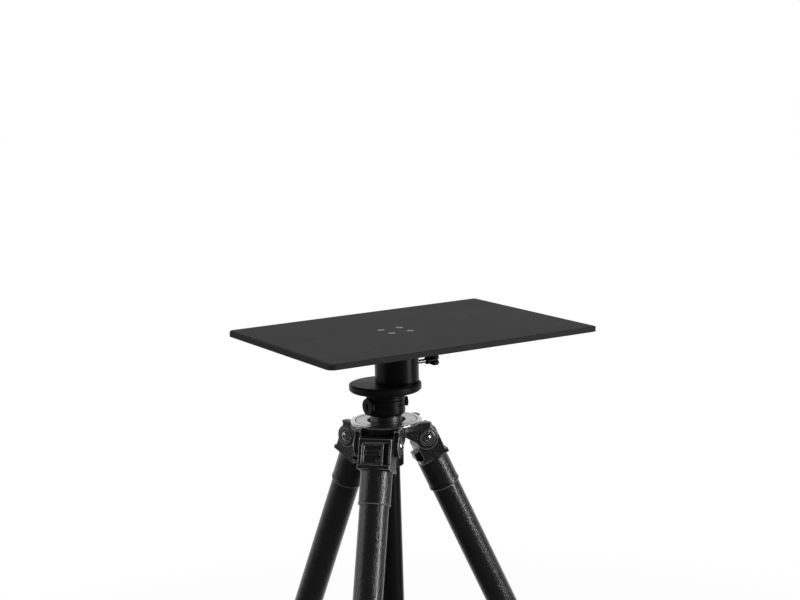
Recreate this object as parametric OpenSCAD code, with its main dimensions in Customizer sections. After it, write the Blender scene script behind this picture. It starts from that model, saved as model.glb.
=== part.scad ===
// A flat work table on a three-legged stand: millimetres, +Z up, X along the table's front edge.
// The origin lies on the floor, under the middle of the three feet's bounding box.

/* [Tabletop] */
// Length of the tabletop along its front edge
table_length = 343; // [280:1:460]
// Depth of the tabletop from front to back
table_depth = 247; // [200:1:360]
// Thickness of the tabletop plate
table_thick = 6.35; // [6:0.05:12]
// Radius of the tabletop's corners seen from above
table_corner_r = 9; // [4:0.5:40]
// Round-over of the left and right top edges
table_side_round = 5; // [2:0.1:5.4]
// Bevel of the front and back top edges
table_bevel = 0.8; // [0.3:0.1:2]
// How far the plate's middle lies beyond the boss's axis
table_shift = 20.3; // [0:0.1:60]

/* [Boss under the table] */
// Diameter of the round boss
boss_d = 50; // [46:0.5:70]
// Height of the boss below the plate
boss_h = 52.15; // [46:0.05:90]
// Bore of the boss's middle socket
socket_d = 16.2; // [12:0.1:16.6]
// Depth of the middle socket
socket_depth = 40; // [30:1:42]
// Distance from the boss's axis to its side thread
thread_offset = 15.7; // [14.8:0.1:17]
// Outer diameter of the steel thread insert
insert_d = 11.4; // [10.6:0.1:12]
// Length of the steel thread insert
insert_len = 18; // [12:1:30]
// Circle on which the table screws sit
table_screw_pcd = 34; // [28:1:38]
// Diameter of a table screw
table_screw_d = 4; // [3:0.1:5]
// Length of a table screw
table_screw_len = 15; // [10:0.5:17]

/* [Thumbscrew] */
// Diameter of the thumbscrew's rod
thumb_rod_d = 5; // [4:0.1:8]
// Distance of the rod below the plate
thumb_drop = 33.65; // [14:0.05:40]
// Distance from the boss's axis to the knob's inner end
thumb_knob_start = 38.3; // [30:0.1:60]
// Length of the knob along its rod
thumb_knob_len = 15; // [8:0.5:25]
// Diameter over the knob's four lobes
thumb_knob_d = 15.2; // [13:0.1:24]

/* [Head of the column] */
// Diameter of the round head plate
plate_d = 82; // [79:0.5:110]
// Thickness of the head plate
plate_t = 8; // [6:0.25:14]
// Bevel round the head plate's lower edge
plate_bevel = 2; // [0.5:0.25:4]
// Thickness of the anti-twist plate
fence_t = 1.5; // [1:0.1:4]
// Direction of the anti-twist plate's straight edge
fence_angle = 148; // [140:1:160]
// Diameter of the anti-twist plate's screws
fence_screw_d = 3; // [2.5:0.1:4]
// Diameter of the head bolt
head_bolt_d = 9.4; // [8:0.1:10.4]
// Height of the column's top fitting
fitting_h = 10; // [8.5:0.25:16]
// Depth of the top fitting's tube socket
fitting_socket = 5.5; // [5.25:0.25:7]

/* [Column] */
// Outer diameter of the column tube
column_d = 28; // [24:0.25:30]
// Wall of the column tube
column_wall = 2; // [1.5:0.1:3]
// How far the column can rise
column_travel = 270; // [120:5:290]
// Thickness of the cap's flange at the column's lower end
cap_t = 8; // [4:0.5:14]
// Diameter of the thread in the cap's underside
cap_thread_d = 9.5; // [6:0.1:10]

/* [Clamp collar] */
// Diameter of the clamp collar and the top fitting
collar_d = 44; // [42:0.25:56]
// Height of the clamp collar
collar_h = 17.2; // [15:0.1:26]
// Bevel under the clamp collar
collar_bevel = 3; // [1:0.25:4]
// Wall of the split sleeve inside the collar
clamp_sleeve_wall = 1.25; // [1:0.05:1.6]
// Distance across the lock knob's points
lock_knob_d = 21.6; // [14:0.1:22]
// Thickness of the lock knob
lock_knob_t = 3.6; // [2.5:0.1:12]
// Distance of the lock screw below the collar's top
lock_drop = 5.6; // [5.2:0.1:8]
// Direction in which the lock knob points
lock_knob_angle = 185; // [170:1:200]
// Diameter of the drag screw's head
drag_head_d = 11; // [8:0.1:14]
// Distance of the drag screw below the collar's top
drag_drop = 4; // [3.8:0.1:8]
// Direction in which the drag screw points
drag_angle = 340; // [320:1:350]

/* [Crown] */
// Diameter of the crown
crown_d = 81; // [80:0.5:81.5]
// Height of the bright neck between the crown and the collar
neck_h = 6.5; // [4:0.25:20]
// Outer diameter of the neck
neck_d = 36; // [35:0.25:40]
// Diameter of the hole round the neck
well_d = 44; // [42:0.5:50]
// Diameter of the groove between the two bright rings
groove_d = 70; // [62:0.5:72]
// Width of that groove
groove_w = 1; // [0.6:0.1:2]
// Thickness of the bright rings
ring_t = 3; // [2:0.1:4]
// Height of the crown's dark rim below the bright rings
rim_h = 5.5; // [4:0.1:6]
// Depth of the well round the neck, below the bright rings
well_depth = 3.5; // [2.5:0.1:4.5]
// Length of the neck that sits in the spider
neck_foot = 6; // [5:0.25:7]
// Metal between the neck's seat and the lower sleeve's seat
seat_wall = 4; // [3:0.25:5]
// Diameter of the hub below the crown
hub_d = 40.6; // [40.2:0.1:44]
// Height of the hub below the crown's rim
hub_h = 17; // [14:0.25:18]
// How far the roots of the ears reach below the crown's rim
ear_root = 6.5; // [5:0.25:9]
// Outer diameter of the lower column sleeve
sleeve_d = 37; // [35:0.25:40]
// Length of the lower column sleeve
sleeve_len = 36; // [26:1:60]

/* [Leg hinges] */
// Distance from the stand's axis to each hinge
hinge_radius = 40; // [39.5:0.1:46]
// Distance of the hinges below the top of the crown
hinge_drop = 20.5; // [20.3:0.1:24]
// Lean of the legs from upright
spread = 24; // [18:0.5:28]
// Direction in which the front leg points
front_leg_angle = 226; // [220:1:232]
// Diameter of the hinge bolts
hinge_bolt_d = 10; // [6:0.5:12]
// Thickness of each ear that holds a hinge bolt
ear_t = 6.7; // [5:0.1:9]
// Radius of the ears round the bolt
ear_r = 13; // [11:0.25:13.5]
// Radius of the raised ring round each bolt
ear_boss_r = 9.2; // [7:0.1:10.5]
// Height of that ring
ear_boss_t = 0.8; // [0.4:0.1:1.5]
// Radius of the domed bolt heads and nuts
bolt_dome_r = 5.6; // [5.2:0.1:7]
// Height of the domes
bolt_dome_h = 2.6; // [1.5:0.1:4]

/* [Leg heads] */
// Width of a leg's head between the ears
head_w = 37.4; // [36:0.1:40]
// Radius of the head round its hinge
head_r = 11.5; // [9:0.1:11.6]
// Distance from the hinge axis to the head's outer face
head_front = 15.5; // [15:0.1:17]
// Distance from the hinge axis to the head's inner face
head_back = 13; // [11.6:0.1:14]
// Distance from the hinge down to the head's flange
flange_drop = 24; // [22:0.5:30]
// Thickness of the flange
flange_t = 5; // [3.5:0.25:8]
// How far the flange stands out of the head's outer face
flange_lip = 2.7; // [1:0.1:4]
// Outer diameter of the head's tube sleeve
head_sleeve_d = 35.6; // [35:0.1:36]
// Distance from the hinge down to the sleeve's end
head_sleeve_end = 67; // [50:1:100]
// How far the head's front face rises above the hinge axis
head_crest = 5; // [4.5:0.1:8]
// Width of the angle latch
latch_w = 24; // [18:0.5:25]
// Sideways travel of the angle latch
latch_travel = 5.8; // [4:0.1:6]

/* [Leg tubes] */
// Outer diameter of the upper tubes
upper_d = 32.8; // [31:0.1:33]
// Outer diameter of the middle tubes
middle_d = 28; // [26.5:0.1:28.1]
// Outer diameter of the lower tubes
lower_d = 24; // [20:0.1:24.1]
// Wall of the leg tubes
tube_wall = 1.7; // [1.2:0.05:1.8]
// Length of the upper tubes
upper_len = 428; // [300:1:520]
// Length of middle tube that shows below its lock
middle_out = 264; // [60:1:340]
// Length of lower tube that shows below its lock
lower_out = 167; // [40:1:240]
// Length of middle tube inside the upper tube
middle_inside = 160; // [60:1:260]
// Length of lower tube inside the middle tube
lower_inside = 148; // [60:1:240]

/* [Leg locks and feet] */
// Outer diameter of the upper twist locks
upper_lock_d = 40; // [38:0.25:46]
// Outer diameter of the lower twist locks
lower_lock_d = 35.4; // [34:0.2:42]
// Length of the upper twist locks
upper_lock_len = 44; // [30:1:60]
// Length of the lower twist locks
lower_lock_len = 40; // [28:1:56]
// Radius of the ball end of the rubber feet
foot_r = 16; // [14.5:0.25:24]
// Distance from a foot's top to the middle of its ball
foot_len = 45; // [34:1:70]
// Depth of the tube's seat in the foot
foot_socket = 20; // [10:1:26]

/* [Fits] */
// Radial clearance of pieces that run on each other
run_gap = 0.05; // [0.02:0.01:0.1]
// Clearance of pieces that only pass each other
free_gap = 0.3; // [0.2:0.05:0.5]

/* [Hidden] */
$fn = 64;
LEGS = ["front", "right", "rear"];
LEG_PARTS = ["leg_head", "upper_tube", "upper_collet", "angle_latch", "upper_lock", "middle_tube",
    "lower_collet", "lower_lock", "lower_tube", "foot"];
STAND_PARTS = ["tabletop", "receiver_boss", "boss_screws", "thread_insert", "thumbscrew_rod",
    "thumbscrew_knob", "head_plate", "anti_twist_plate", "anti_twist_screws", "head_bolt",
    "column_fitting", "column_tube", "column_cap", "clamp_sleeve", "clamp_collar", "clamp_shoe",
    "column_lock_screw", "column_lock_knob", "drag_screw", "collar_neck", "crown_ring",
    "crown_plate", "spider", "column_sleeve", "sleeve_bush", "hinge_bolts", "hinge_nuts"];

black = "#1d1d1f";
dark_grey = "#3a3a3c";
silver = "#c9c9ca";
chrome = "#dcdcde";
steel = "#9a9a9d";
brass = "#b59a5a";
nylon = "#4a4a4c";
rubber = "#161617";

leg_angles = [front_leg_angle, front_leg_angle + 120, front_leg_angle + 240];

// Places along a leg, measured down from its hinge
tube_seat = flange_drop + flange_t + 5;
upper_end = tube_seat + upper_len;
upper_lock_top = upper_end - upper_lock_len / 2;
upper_lock_end = upper_lock_top + upper_lock_len;
middle_top = upper_end - middle_inside;
middle_end = upper_lock_end + middle_out + lower_lock_len / 2;
lower_lock_top = middle_end - lower_lock_len / 2;
lower_lock_end = lower_lock_top + lower_lock_len;
lower_top = middle_end - lower_inside;
foot_top = lower_lock_end + lower_out;
lower_end = foot_top + foot_socket;
leg_length = foot_top + foot_len;
lip_t = 3;

// Heights above the floor
hinge_z = leg_length * cos(spread) + foot_r;
crown_z = hinge_z + hinge_drop;
collar_z = crown_z + neck_h;
fitting_z = collar_z + collar_h + free_gap;
plate_z = fitting_z + fitting_h;
boss_z = plate_z + plate_t;
table_z = boss_z + boss_h;
table_top_z = table_z + table_thick;
rim_top_z = crown_z - ring_t;
rim_low_z = rim_top_z - rim_h;
well_z = rim_top_z - well_depth;
neck_low_z = well_z - neck_foot;
sleeve_top_z = neck_low_z - seat_wall;
hub_low_z = rim_low_z - hub_h;
sleeve_low_z = sleeve_top_z - sleeve_len;
cap_top_z = sleeve_low_z - column_travel - 2;

// The stand's axis, set so that the feet lie evenly about the origin
foot_circle = hinge_radius + leg_length * sin(spread);
foot_xs = [for (angle = leg_angles) foot_circle * cos(angle)];
foot_ys = [for (angle = leg_angles) foot_circle * sin(angle)];
stand_x = -(max(foot_xs) + min(foot_xs)) / 2;
stand_y = -(max(foot_ys) + min(foot_ys)) / 2;

// Radii worked out from the sizes that meet
column_r = column_d / 2;
collar_r = collar_d / 2;
clamp_sleeve_r = column_r + run_gap + clamp_sleeve_wall;
collar_bore_r = clamp_sleeve_r + run_gap;
neck_bore_r = column_r + 2;
upper_bore_r = upper_d / 2 - tube_wall;
middle_bore_r = middle_d / 2 - tube_wall;
lower_bore_r = lower_d / 2 - tube_wall;
head_bore_r = hinge_bolt_d / 2 + run_gap;
ear_in = head_w / 2 + free_gap;
ear_out = ear_in + ear_t;
bolt_end = ear_out + ear_boss_t;
sit = 1;

// The clamp screws' places
lock_screw_z = collar_z + collar_h - lock_drop;
drag_screw_z = collar_z + collar_h - drag_drop;
lock_screw_r = 4;
shoe_r = 5;
shoe_in = clamp_sleeve_r + 0.1;
shoe_out = shoe_in + 2.4;
drag_screw_r = 3;
knob_face = collar_r + free_gap;
drag_head_t = 3;

// The latch and its pocket in the leg's head
latch_t = 6.3;
latch_gap = 0.2;
latch_low = -flange_drop + latch_gap;
latch_high = 0;
latch_left = -14.3;
latch_back = head_front - 0.5 - latch_t;
tongue = 2;
tongue_t = 2.6;
pocket_back = latch_back - latch_gap;
pocket_left = latch_left - latch_gap;
pocket_right = latch_left + latch_w + latch_travel + latch_gap;

module in_place() {
    translate([stand_x, stand_y, 0]) children();
}

module at_boss(z) {
    in_place() translate([thread_offset, 0, z]) children();
}

module at_leg(i) {
    in_place() rotate([0, 0, leg_angles[i]]) translate([hinge_radius, 0, hinge_z])
        rotate([0, -spread, 0]) children();
}

// Turns a piece drawn upwards so that it points away from the stand's axis
module pointing(angle, z) {
    in_place() rotate([0, 0, angle]) translate([0, 0, z]) rotate([0, 90, 0]) children();
}

module ring(outer_r, inner_r, height) {
    difference() {
        cylinder(r = outer_r, h = height);
        translate([0, 0, -sit]) cylinder(r = inner_r, h = height + 2 * sit);
    }
}

module bevelled_disc(r, height, low_bevel, high_bevel) {
    rotate_extrude()
        polygon([[0, 0], [r - low_bevel, 0], [r, low_bevel], [r, height - high_bevel],
            [r - high_bevel, height], [0, height]]);
}

module round_rectangle(length, depth, r) {
    square([length - 2 * r, depth], center = true);
    square([length, depth - 2 * r], center = true);
    for (x = [-1, 1], y = [-1, 1])
        translate([x * (length / 2 - r), y * (depth / 2 - r)]) circle(r);
}

// Side view of the plate with its two rounded top corners
module plate_profile(length, r) {
    translate([-length / 2, 0]) square([length, table_thick - r]);
    translate([-length / 2 + r, 0]) square([length - 2 * r, table_thick]);
    for (x = [-1, 1])
        translate([x * (length / 2 - r), table_thick - r]) circle(r);
}

module plate_end_view(depth, bevel) {
    half = depth / 2;
    polygon([[-half, 0], [half, 0], [half, table_thick - bevel], [half - bevel, table_thick],
        [-half + bevel, table_thick], [-half, table_thick - bevel]]);
}

module at_table_screws() {
    for (angle = [45:90:315])
        rotate([0, 0, angle]) translate([table_screw_pcd / 2, 0, 0]) children();
}

screw_head_r = table_screw_d;
screw_head_h = table_screw_d / 2;

module tabletop() {
    color(black) at_boss(table_z) difference() {
        translate([table_shift, 0, 0]) intersection() {
            linear_extrude(table_thick)
                round_rectangle(table_length, table_depth, table_corner_r);
            translate([0, table_depth / 2 + sit, 0]) rotate([90, 0, 0])
                linear_extrude(table_depth + 2 * sit) plate_profile(table_length, table_side_round);
            translate([-table_length / 2 - sit, 0, 0]) rotate([90, 0, 90])
                linear_extrude(table_length + 2 * sit) plate_end_view(table_depth, table_bevel);
        }
        at_table_screws() translate([0, 0, -sit])
            cylinder(r = table_screw_d / 2, h = table_thick + 2 * sit);
        at_table_screws() translate([0, 0, table_thick - screw_head_h])
            cylinder(r1 = table_screw_d / 2, r2 = screw_head_r, h = screw_head_h);
    }
}

module boss_screws() {
    color(steel) at_boss(table_top_z) at_table_screws() difference() {
        union() {
            translate([0, 0, -screw_head_h])
                cylinder(r1 = table_screw_d / 2, r2 = screw_head_r, h = screw_head_h);
            translate([0, 0, -table_screw_len]) cylinder(r = table_screw_d / 2, h = table_screw_len);
        }
        translate([0, 0, -1.2]) cylinder(r = table_screw_d * 0.36, h = 2, $fn = 6);
    }
}

module receiver_boss() {
    color(black) at_boss(boss_z) difference() {
        bevelled_disc(boss_d / 2, boss_h, 0.8, 0.4);
        translate([0, 0, -sit]) cylinder(r = socket_d / 2, h = socket_depth + sit);
        translate([-thread_offset, 0, -sit]) cylinder(r = insert_d / 2, h = insert_len + sit);
        translate([0, 0, boss_h - thumb_drop]) rotate([0, 90, 0])
            cylinder(r = thumb_rod_d / 2 + run_gap, h = boss_d);
        at_table_screws() translate([0, 0, boss_h - table_screw_len + table_thick])
            cylinder(r = table_screw_d / 2, h = table_screw_len);
    }
}

module thread_insert() {
    color(brass) in_place() translate([0, 0, boss_z])
        ring(insert_d / 2, head_bolt_d / 2 + run_gap, insert_len);
}

module thumbscrew_rod() {
    tip = socket_d / 2 - 1.6;
    color(chrome) at_boss(table_z - thumb_drop) rotate([0, 90, 0])
        translate([0, 0, tip]) bevelled_disc(thumb_rod_d / 2, thumb_knob_start + 10 - tip, 1, 0.3);
}

// A knob with four lobes that flare out towards its free end
module thumbscrew_knob() {
    lobe_r = thumb_knob_d * 0.17;
    knob_r = thumb_knob_d / 2;
    neck_r = knob_r * 0.56;
    color(black) at_boss(table_z - thumb_drop) rotate([0, 90, 0])
        translate([0, 0, thumb_knob_start]) difference() {
            intersection() {
                union() {
                    cylinder(r = knob_r * 0.5, h = thumb_knob_len);
                    for (angle = [45:90:315])
                        rotate([0, 0, angle]) translate([knob_r - lobe_r, 0, 0])
                            cylinder(r = lobe_r, h = thumb_knob_len);
                }
                rotate_extrude()
                    polygon([[0, 0], [neck_r - 0.6, 0], [neck_r, 0.6], [neck_r, thumb_knob_len * 0.35],
                        [knob_r, thumb_knob_len * 0.62], [knob_r, thumb_knob_len - 1.2],
                        [knob_r - 1, thumb_knob_len], [0, thumb_knob_len]]);
            }
            translate([0, 0, -sit]) cylinder(r = thumb_rod_d / 2, h = 10 + sit);
        }
}

bolt_hole_r = head_bolt_d / 2 + 0.1;
bolt_head_r = 8;
bolt_head_h = 5;
fence_screw_r = fence_screw_d / 2;
fence_screw_depth = 5;
fence_r = plate_d / 2 - 0.8;
fence_end = thread_offset + 7;
fence_screw_angles = [258, 284];

module at_fence_screws() {
    for (angle = fence_screw_angles)
        rotate([0, 0, angle]) translate([fence_r - 5.5, 0, 0]) children();
}

module head_plate() {
    color(black) in_place() translate([0, 0, plate_z]) difference() {
        bevelled_disc(plate_d / 2, plate_t, plate_bevel, 0.6);
        translate([0, 0, -sit]) cylinder(r = bolt_hole_r, h = plate_t + 2 * sit);
        at_fence_screws() translate([0, 0, plate_t - fence_screw_depth])
            cylinder(r = fence_screw_r, h = fence_screw_depth + sit);
    }
}

// A half round plate with a straight edge at its back, cut away round the boss
module anti_twist_plate() {
    color(black) in_place() translate([0, 0, boss_z]) difference() {
        cylinder(r = fence_r, h = fence_t);
        rotate([0, 0, fence_angle]) translate([-plate_d, -plate_d, -sit])
            cube([2 * plate_d, plate_d, fence_t + 2 * sit]);
        translate([thread_offset, 0, -sit])
            cylinder(r = boss_d / 2 + free_gap, h = fence_t + 2 * sit);
        translate([fence_end, -plate_d, -sit]) cube([plate_d, 2 * plate_d, fence_t + 2 * sit]);
        at_fence_screws() translate([0, 0, -sit]) cylinder(r = fence_screw_r, h = fence_t + 2 * sit);
        at_fence_screws() translate([0, 0, fence_t - 1])
            cylinder(r1 = fence_screw_r, r2 = fence_screw_r + 1, h = 1);
    }
}

module anti_twist_screws() {
    color(steel) in_place() translate([0, 0, boss_z]) at_fence_screws() difference() {
        union() {
            translate([0, 0, -fence_screw_depth])
                cylinder(r = fence_screw_r, h = fence_screw_depth + fence_t);
            translate([0, 0, fence_t - 1])
                cylinder(r1 = fence_screw_r, r2 = fence_screw_r + 1, h = 1);
        }
        translate([-4, -0.35, fence_t - 0.7]) cube([8, 0.7, 2]);
    }
}

module head_bolt() {
    color(steel) in_place() union() {
        translate([0, 0, fitting_z + fitting_socket - bolt_head_h])
            cylinder(r = bolt_head_r, h = bolt_head_h, $fn = 6);
        translate([0, 0, fitting_z + fitting_socket])
            bevelled_disc(head_bolt_d / 2, plate_t + fitting_h - fitting_socket + insert_len - 3, 0.1, 1);
    }
}

module column_fitting() {
    groove = 0.7;
    groove_z = fitting_h * 0.36;
    color(black) in_place() translate([0, 0, fitting_z]) difference() {
        bevelled_disc(collar_r, fitting_h, 0.5, 0.4);
        translate([0, 0, -sit]) cylinder(r = bolt_hole_r, h = fitting_h + 2 * sit);
        translate([0, 0, -sit]) cylinder(r = column_r, h = fitting_socket + sit);
        translate([0, 0, groove_z]) ring(collar_r + sit, collar_r - groove, groove);
    }
}

module column_tube() {
    color(black) in_place() translate([0, 0, cap_top_z])
        ring(column_r, column_r - column_wall, fitting_z + fitting_socket - cap_top_z);
}

cap_r = column_r + 2.5;
cap_plug = 14;

module column_cap() {
    color(black) in_place() translate([0, 0, cap_top_z - cap_t]) difference() {
        union() {
            bevelled_disc(cap_r, cap_t, 1.5, 0.5);
            translate([0, 0, cap_t]) cylinder(r = column_r - column_wall, h = cap_plug);
        }
        translate([0, 0, -sit]) cylinder(r = cap_thread_d / 2, h = cap_t + cap_plug - 4 + sit);
    }
}

clamp_sleeve_low = 1.2;

module clamp_sleeve() {
    color(nylon) in_place() translate([0, 0, collar_z + clamp_sleeve_low])
        ring(clamp_sleeve_r, column_r + run_gap, collar_h - 2 * clamp_sleeve_low);
}

module clamp_collar() {
    groove = 0.8;
    color(black) difference() {
        in_place() translate([0, 0, collar_z]) difference() {
            bevelled_disc(collar_r, collar_h, collar_bevel, 0.4);
            translate([0, 0, -sit]) cylinder(r = collar_bore_r, h = collar_h + 2 * sit);
            translate([0, 0, collar_h * 0.68]) ring(collar_r + sit, collar_r - groove, groove);
        }
        pointing(lock_knob_angle, lock_screw_z) cylinder(r = lock_screw_r, h = collar_d);
        pointing(lock_knob_angle, lock_screw_z) cylinder(r = shoe_r, h = shoe_out + 0.1);
        pointing(drag_angle, drag_screw_z) cylinder(r = drag_screw_r, h = collar_d);
    }
}

module clamp_shoe() {
    color(brass) pointing(lock_knob_angle, lock_screw_z) translate([0, 0, shoe_in])
        cylinder(r = shoe_r, h = shoe_out - shoe_in);
}

module column_lock_screw() {
    color(steel) pointing(lock_knob_angle, lock_screw_z) translate([0, 0, shoe_out + 0.15])
        cylinder(r = lock_screw_r - run_gap, h = knob_face + 1.8 - shoe_out - 0.15);
}

module column_lock_knob() {
    slot_w = 3;
    slot_h = 9;
    color(black) pointing(lock_knob_angle, lock_screw_z) translate([0, 0, knob_face]) difference() {
        rotate([0, 0, 22.5]) intersection() {
            cylinder(r = lock_knob_d / 2, h = lock_knob_t, $fn = 8);
            cylinder(r1 = lock_knob_d / 2, r2 = lock_knob_d / 2 - 1.4, h = lock_knob_t + 0.01);
        }
        translate([0, 0, -sit]) cylinder(r = lock_screw_r - run_gap, h = 1.8 + sit);
        translate([-slot_h / 2, -slot_w / 2, lock_knob_t - 1.2]) cube([slot_h, slot_w, 2]);
    }
}

module drag_screw() {
    color(steel) pointing(drag_angle, drag_screw_z) difference() {
        union() {
            translate([0, 0, shoe_in]) cylinder(r = drag_screw_r - run_gap, h = knob_face - shoe_in);
            translate([0, 0, knob_face]) bevelled_disc(drag_head_d / 2, drag_head_t, 0.3, 0.6);
        }
        translate([-drag_head_d, -0.6, knob_face + drag_head_t - 1]) cube([2 * drag_head_d, 1.2, 2]);
    }
}

module collar_neck() {
    r = neck_d / 2;
    groove = 0.6;
    low = well_z - neck_low_z;
    color(chrome) in_place() translate([0, 0, neck_low_z]) difference() {
        cylinder(r = r, h = collar_z - neck_low_z);
        translate([0, 0, -sit]) cylinder(r = neck_bore_r, h = collar_z - neck_low_z + 2 * sit);
        for (i = [1:5])
            translate([0, 0, low + 2 * i]) ring(r + sit, r - groove, 0.9);
    }
}

module crown_ring() {
    color(silver) in_place() translate([0, 0, rim_top_z]) difference() {
        bevelled_disc(crown_d / 2, ring_t, 0.3, 0.8);
        translate([0, 0, -sit]) cylinder(r = groove_d / 2 + groove_w / 2, h = ring_t + 2 * sit);
    }
}

module crown_plate() {
    color(silver) in_place() translate([0, 0, rim_top_z])
        ring(groove_d / 2 - groove_w / 2, well_d / 2, ring_t - 0.2);
}

// The crown's dark rim has three beads, and a narrow hub holds the sleeve below it
module spider_body() {
    r = crown_d / 2;
    bead = rim_h / 3;
    groove = 1;
    hub_r = hub_d / 2;
    rotate_extrude()
        polygon([[0, hub_low_z], [hub_r - 0.5, hub_low_z], [hub_r, hub_low_z + 0.5],
            [hub_r, rim_low_z], [r - 1, rim_low_z], [r, rim_low_z + 0.6], [r, rim_low_z + bead],
            [r - groove, rim_low_z + bead], [r - groove, rim_low_z + bead + 0.5],
            [r, rim_low_z + bead + 0.5], [r, rim_low_z + 2 * bead],
            [r - groove, rim_low_z + 2 * bead], [r - groove, rim_low_z + 2 * bead + 0.5],
            [r, rim_low_z + 2 * bead + 0.5], [r, rim_top_z], [0, rim_top_z]]);
}

// Side view of an ear: a pointed nose at the crown and a round end at the hinge bolt
module ear_profile() {
    nose_x = hinge_radius + 6.5;
    nose_z = crown_z - 1.3;
    root_x = ear_in / tan(60);
    polygon([[root_x, rim_low_z - ear_root], [root_x, nose_z], [nose_x - 4.5, nose_z],
        [nose_x, nose_z - 1.2], [nose_x - 3.4, hinge_z + ear_r - 1.6], [hinge_radius, hinge_z],
        [hinge_radius, hinge_z - ear_r]]);
    translate([hinge_radius, hinge_z]) circle(ear_r);
}

// Two ears for one leg, each with a raised ring round its bolt hole
module ear_pair() {
    for (side = [-1, 1]) {
        translate([0, side * (ear_in + ear_t / 2) + ear_t / 2, 0])
            rotate([90, 0, 0]) linear_extrude(ear_t) ear_profile();
        translate([hinge_radius, side * ear_out, hinge_z]) rotate([90, 0, 0])
            cylinder(r = ear_boss_r, h = 2 * ear_boss_t, center = true);
    }
}

module spider() {
    crown_h = crown_z - hub_low_z;
    color(black) in_place() difference() {
        union() {
            spider_body();
            for (angle = leg_angles)
                rotate([0, 0, angle]) ear_pair();
        }
        translate([0, 0, rim_top_z]) cylinder(r = crown_d / 2 + 0.2, h = crown_h);
        translate([0, 0, well_z]) cylinder(r = well_d / 2, h = crown_h);
        translate([0, 0, neck_low_z]) cylinder(r = neck_d / 2, h = crown_h);
        translate([0, 0, hub_low_z - sit]) cylinder(r = column_r + 1, h = 2 * crown_h);
        translate([0, 0, hub_low_z - sit])
            cylinder(r = sleeve_d / 2, h = sleeve_top_z - hub_low_z + sit);
        for (angle = leg_angles)
            rotate([0, 0, angle]) translate([hinge_radius, 0, hinge_z]) rotate([90, 0, 0])
                cylinder(r = hinge_bolt_d / 2, h = 4 * ear_out, center = true);
    }
}

module column_sleeve() {
    color(black) in_place() translate([0, 0, sleeve_low_z]) difference() {
        bevelled_disc(sleeve_d / 2, sleeve_len, 0.8, 0.2);
        translate([0, 0, -sit]) cylinder(r = neck_bore_r, h = sleeve_len + 2 * sit);
    }
}

module sleeve_bush() {
    bush_len = 15;
    color(nylon) in_place() translate([0, 0, sleeve_low_z + 1])
        ring(neck_bore_r, column_r + run_gap, bush_len);
}

// A low domed cap of a given radius and height, drawn upwards
module dome(r, height) {
    ball_r = (r * r + height * height) / (2 * height);
    intersection() {
        translate([0, 0, height - ball_r]) sphere(ball_r);
        cylinder(r = r, h = height + sit);
    }
}

nut_depth = 4;

module hinge_bolts() {
    color(chrome) for (i = [0:2]) in_place() rotate([0, 0, leg_angles[i]])
        translate([hinge_radius, 0, hinge_z]) rotate([90, 0, 0]) union() {
            translate([0, 0, -bolt_end + nut_depth])
                cylinder(r = hinge_bolt_d / 2, h = 2 * bolt_end - nut_depth);
            translate([0, 0, bolt_end]) dome(bolt_dome_r, bolt_dome_h);
        }
}

module hinge_nuts() {
    color(chrome) for (i = [0:2]) in_place() rotate([0, 0, leg_angles[i]])
        translate([hinge_radius, 0, hinge_z]) rotate([-90, 0, 0]) union() {
            translate([0, 0, bolt_end - nut_depth])
                cylinder(r = hinge_bolt_d / 2, h = nut_depth);
            translate([0, 0, bolt_end]) dome(bolt_dome_r, bolt_dome_h);
        }
}

// The head's tab on its inner side, below the ears
module finger_tab() {
    translate([-head_back - 6, -8, -flange_drop - 1]) cube([7, 16, 9]);
}

// Side view of a leg's head, with the hinge at its origin
module head_profile() {
    shoulder = head_r - 3;
    flange_back = head_back + 4.5;
    circle(head_r);
    polygon([[-head_r, 0], [-head_r, -shoulder], [-head_back, -shoulder], [-head_back, -flange_drop],
        [-flange_back, -flange_drop], [-flange_back, -flange_drop - flange_t],
        [head_front + flange_lip, -flange_drop - flange_t], [head_front + flange_lip, -flange_drop],
        [head_front, -flange_drop], [head_front, head_crest], [0, head_crest], [0, 0]]);
}

module leg_head(i) {
    sleeve_h = head_sleeve_end - flange_drop - sit;
    color(black) at_leg(i) difference() {
        union() {
            translate([0, head_w / 2, 0]) rotate([90, 0, 0]) linear_extrude(head_w) head_profile();
            translate([0, 0, -head_sleeve_end]) cylinder(r = head_sleeve_d / 2, h = sleeve_h);
            translate([0, 0, -head_sleeve_end]) cylinder(r = head_sleeve_d / 2 + 0.5, h = 3);
            finger_tab();
        }
        translate([0, 0, -head_sleeve_end - sit])
            cylinder(r = upper_d / 2, h = head_sleeve_end - tube_seat + sit);
        rotate([90, 0, 0]) cylinder(r = head_bore_r, h = head_w + 2 * sit, center = true);
        translate([pocket_back, pocket_left, -flange_drop])
            cube([20, pocket_right - pocket_left, flange_drop + latch_high + latch_gap]);
        translate([pocket_back, pocket_left, -flange_drop - tongue])
            cube([tongue_t + 2 * latch_gap, pocket_right - pocket_left,
                flange_drop + latch_high + latch_gap + 2 * tongue]);
    }
}

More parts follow.
